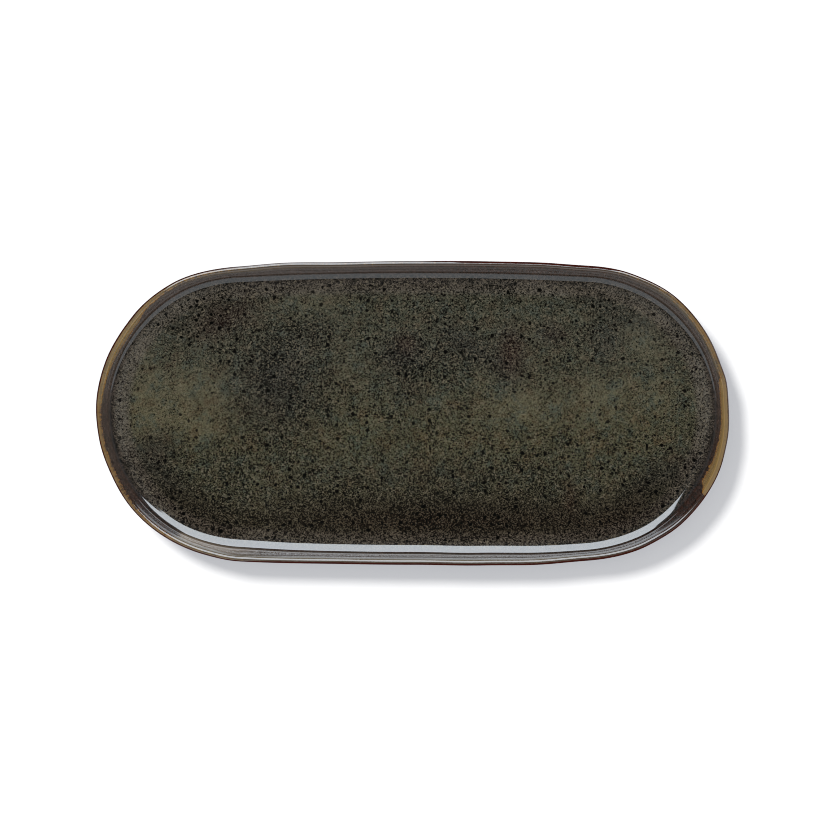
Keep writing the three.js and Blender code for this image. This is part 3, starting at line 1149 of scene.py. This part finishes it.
def lip_finish():
    """Amber breaking glaze: the wall's colour inside, the outer colour outside, and a dry edge."""
    constants = {"Specular_IOR_Level": 0.0, "Coat_IOR": 1.9, "Coat_Roughness": 0.08}
    finish = Finish("amber breaking lip glaze", **constants)
    run = finish.run()
    under = finish.mix(finish.ramp(run, -0.5, -1.5), wall_pattern(finish), outer_pattern(finish))
    colour, dry = lip_pattern(finish, under)
    gloss = 0.55 + finish.ramp(run, LIP_OUTSIDE, -0.8) * 0.4
    finish.feed(finish.shader.inputs["Coat Weight"], (1 - dry) * gloss)
    return finish.paint(colour, 0.3 + dry * 0.4, finish.relief(finish.peel(), 0.02))


lip_coat.data.materials.append(lip_finish())
print("lip:", len(lip_coat.data.materials[0].node_tree.nodes), "nodes")

# %% [markdown]
# ## Base and bare clay
#
# Under the plate the glaze is thinner and plainer, with a few pinholes. The foot is bare stoneware: a
# warm buff, matt, with dark grog grains that the sponge brought up.

# %% Base glaze and clay
BASE_DARK = fired(52, 36, 28)
BASE_BROWN = fired(86, 68, 52)
PINHOLE_BROWN = fired(26, 18, 14)
BUFF_DARK = fired(120, 96, 74)
BUFF = fired(164, 138, 110)
GROG_BROWN = fired(82, 62, 46)


def base_finish():
    """Thin brown glaze with pinholes that dip into it."""
    finish = Finish("brown base glaze", IOR=GLAZE_IOR)
    drift = finish.noise(finish.spread(30), detail=4, roughness=0.6)
    grain = finish.noise(finish.spread(1.2), detail=2)
    pinholes = finish.dots(finish.spread(9), presence=0.3, radius=0.08, softness=0.02)
    brown = finish.mix(finish.ramp(drift + grain * 0.5, -0.3, 0.3), BASE_DARK, BASE_BROWN)
    colour = finish.mix(pinholes, brown, PINHOLE_BROWN)
    return finish.paint(colour, 0.25 + pinholes * 0.3, finish.relief(grain * 0.4 - pinholes, 0.08))


def clay_finish():
    """Bare buff stoneware with dark grog grains that stand up a little."""
    finish = Finish("bare stoneware", IOR=1.5)
    drift = finish.noise(finish.spread(18), detail=3)
    grain = finish.noise(finish.spread(0.6), detail=3, roughness=0.7)
    grog = finish.dots(finish.spread(1.7), presence=0.35, radius=0.2, softness=0.06)
    buff = finish.mix(finish.ramp(drift + grain * 0.7, -0.35, 0.35), BUFF_DARK, BUFF)
    colour = finish.mix(grog * 0.7, buff, GROG_BROWN)
    return finish.paint(colour, 0.8 + grain * 0.2, finish.relief(grain + grog * 0.5, 0.12))


base_coat.data.materials.append(base_finish())
clay_body.data.materials.append(clay_finish())
print("materials in the scene, with the frame's own:", len(bpy.data.materials))

# %% [markdown]
# ## Studio
#
# The plate lies on a white sweep, which glows a little so that its shadows stay pale. The sweep itself
# reflects little, so what lights it doesn't spill onto the underside of the plate.

# %% White floor
FLOOR_HALF = 30.0
SWEEP_GREY = (0.15, 0.15, 0.15, 1)
SWEEP_GLOW = (0.375, 0.385, 0.415, 1)


def lit_finish(name, colour, glow, strength):
    """A matt finish that also gives off light."""
    matt = {"Base_Color": colour, "Roughness": 1.0, "Specular_IOR_Level": 0.0}
    return Finish(name, Emission_Color=glow, Emission_Strength=strength, **matt)


floor_mesh = bpy.data.meshes.new("studio_floor")
corners = [(-FLOOR_HALF, -FLOOR_HALF, 0), (FLOOR_HALF, -FLOOR_HALF, 0)]
corners += [(FLOOR_HALF, FLOOR_HALF, 0), (-FLOOR_HALF, FLOOR_HALF, 0)]
floor_mesh.from_pydata(corners, [], [(0, 1, 2, 3)])
studio_floor = bpy.data.objects.new("studio_floor", floor_mesh)
bpy.context.scene.collection.objects.link(studio_floor)
sweep = lit_finish("white sweep", SWEEP_GREY, SWEEP_GLOW, 1.0)
sweep.material.cycles.emission_sampling = "NONE"
floor_mesh.materials.append(sweep.material)
print(f"sweep {2 * FLOOR_HALF:.0f} m square")

# %% [markdown]
# The camera looks straight down from two metres, so the wall is hardly seen from the side. Its lens comes
# from how many pixels a millimetre takes up in the picture, and its place from where the plate's middle
# lies there.

# %% Camera
CAMERA_HEIGHT = 2.0
PIXELS_PER_MM = 2.109
PICTURE_SIDE = 830
PLATE_CENTRE_PIXEL = (412.65, 412.9)
field = PICTURE_SIDE / PIXELS_PER_MM * MM
camera_data = bpy.data.cameras.new("overhead camera")
camera_data.sensor_width = 36.0
camera_data.lens = camera_data.sensor_width * CAMERA_HEIGHT / field
camera = bpy.data.objects.new("overhead camera", camera_data)
camera.location = (
    (PICTURE_SIDE / 2 - PLATE_CENTRE_PIXEL[0]) / PIXELS_PER_MM * MM,
    (PLATE_CENTRE_PIXEL[1] - PICTURE_SIDE / 2) / PIXELS_PER_MM * MM,
    CAMERA_HEIGHT + RIM_HEIGHT * MM,
)
bpy.context.scene.collection.objects.link(camera)
bpy.context.scene.camera = camera
print(f"camera lens {camera_data.lens:.1f} mm, field {field:.4f} m")

# %% [markdown]
# A broad sun throws the soft shadow to the near right. Light linking keeps it to the sweep, because on
# the plate it would add a hard highlight that the photograph doesn't show.

# %% Sun for the shadow
SUN_STRENGTH = 14.0
SUN_TINT = (1.0, 0.99, 0.965)
SUN_BREADTH = math.radians(15)
SUN_ELEVATION = math.radians(53.8)
SHADOW_WAY = Vector((0.69, -0.72, 0)).normalized()

sun_data = bpy.data.lights.new("broad sun", "SUN")
sun_data.energy = SUN_STRENGTH
sun_data.color = SUN_TINT
sun_data.angle = SUN_BREADTH
sun = bpy.data.objects.new("broad sun", sun_data)
sun_way = SHADOW_WAY * math.cos(SUN_ELEVATION) - Vector((0, 0, math.sin(SUN_ELEVATION)))
sun.rotation_euler = sun_way.to_track_quat("-Z", "Y").to_euler()
bpy.context.scene.collection.objects.link(sun)


def shine_on(lamp, name, receivers):
    """A lamp or a lit card that lights only some of the objects."""
    lit = bpy.data.collections.new(name)
    for receiver in receivers:
        lit.objects.link(receiver)
    lamp.light_linking.receiver_collection = lit


shine_on(sun, "sweep that takes the shadow", [studio_floor])
print(f"sun {math.degrees(SUN_ELEVATION):.1f} degrees up")

# %% [markdown]
# What the gloss shows is set apart from what lights the clay. The room is dark to glossy rays, and two
# lit cards stand in it, as a photographer would stand them. The far one draws the bright band in the near
# cove, and the near one the grey crescent in the far cove. The far card's foot is narrow, so the band
# tapers at its ends.

# %% Lit cards beyond the plate and on the near side
# Corners of a card as metres along X and up.
FAR_CARD = [
    (-0.3, 0.05), (0.2, 0.05), (0.27, 0.22), (0.5, 0.29), (0.62, 0.5), (0.36, 0.95), (0.25, 1.9),
    (-0.48, 1.9), (-0.47, 0.5), (-0.44, 0.36), (-0.32, 0.26),
]
NEAR_CARD = [(3.5, 0.02), (-3.5, 0.02), (-3.5, 0.85), (3.5, 0.85)]
FAR_TINT = (0.87, 0.935, 1.0, 1)
NEAR_TINT = (0.88, 0.95, 1.0, 1)
FAR_RADIANCE = 4.8
NEAR_RADIANCE = 0.66
BLACK = (0, 0, 0, 1)
CARD_DISTANCE = 0.64
CARD_LEAN = 0.085


def make_card(name, corners, side, lean, tint, radiance):
    """A lit card that only gloss sees: side times the card distance away, leaning in by lean a metre."""
    across, up = np.array(corners).T
    mesh = bpy.data.meshes.new(name)
    places = np.column_stack([across, side * (CARD_DISTANCE - lean * up), up])
    mesh.from_pydata(places.tolist(), [], [range(len(corners))])
    card = bpy.data.objects.new(name, mesh)
    bpy.context.scene.collection.objects.link(card)
    mesh.materials.append(lit_finish(name, BLACK, tint, radiance).material)
    card.visible_camera = False
    card.visible_diffuse = False
    card.visible_transmission = False
    card.visible_shadow = False
    shine_on(card, name + " mirrors", [wall_coat, lip_coat, outer_coat])


make_card("far_card", FAR_CARD, 1, CARD_LEAN, FAR_TINT, FAR_RADIANCE)
make_card("near_card", NEAR_CARD, -1, 0.0, NEAR_TINT, NEAR_RADIANCE)
print(f"cards stand {CARD_DISTANCE:.2f} m from the plate's middle")

# %% [markdown]
# The sky lights the plate, mostly from overhead, as a wide soft box would. Camera rays see plain white,
# and glossy rays see the dark room, a little brighter towards the horizon.

# %% World
AMBIENT = 0.6
OVERHEAD = 4.2
ROOM_DARK = 0.02
HORIZON_GLOW = 0.25
SKY_TINT = (1.0, 0.985, 0.945, 1)
ROOM_TINT = (0.88, 0.95, 1.0, 1)
WHITE = (1, 1, 1, 1)

world = bpy.data.worlds.new("studio sky")
bpy.context.scene.world = world
world.use_nodes = True
world.node_tree.nodes.clear()
sky = Tree(world.node_tree)
up = sky.parts(sky.node("ShaderNodeTexCoord", output="Generated"))[2]
overhead = AMBIENT + sky.ramp(up, 0.82, 0.96) * (OVERHEAD - AMBIENT)
level = 1 - up
room = ROOM_DARK + level * level * level * HORIZON_GLOW


def backdrop(tint, strength):
    """Light from all round, of a tint and a strength."""
    return sky.node("ShaderNodeBackground", None, {"Color": tint, "Strength": strength})


def by_ray(kind, otherwise, seen):
    """One light for rays of a kind, such as camera rays, and another for the rest."""
    share = sky.node("ShaderNodeLightPath", output=kind)
    return sky.node("ShaderNodeMixShader", None, {0: share, 1: otherwise, 2: seen})


surface = by_ray("Is Glossy Ray", backdrop(SKY_TINT, overhead), backdrop(ROOM_TINT, room))
surface = by_ray("Is Camera Ray", surface, backdrop(WHITE, 1.0))
sky.node("ShaderNodeOutputWorld", None, {"Surface": surface})
bpy.context.scene.view_settings.view_transform = "Standard"
bpy.context.scene.cycles.blur_glossy = 0.0
bpy.context.scene.cycles.filter_width = 1.0
print("sky made of", len(world.node_tree.nodes), "nodes")

# %% [markdown]
# The dressed plate has to stay as big as the packed one, apart from the wandering of its outline.
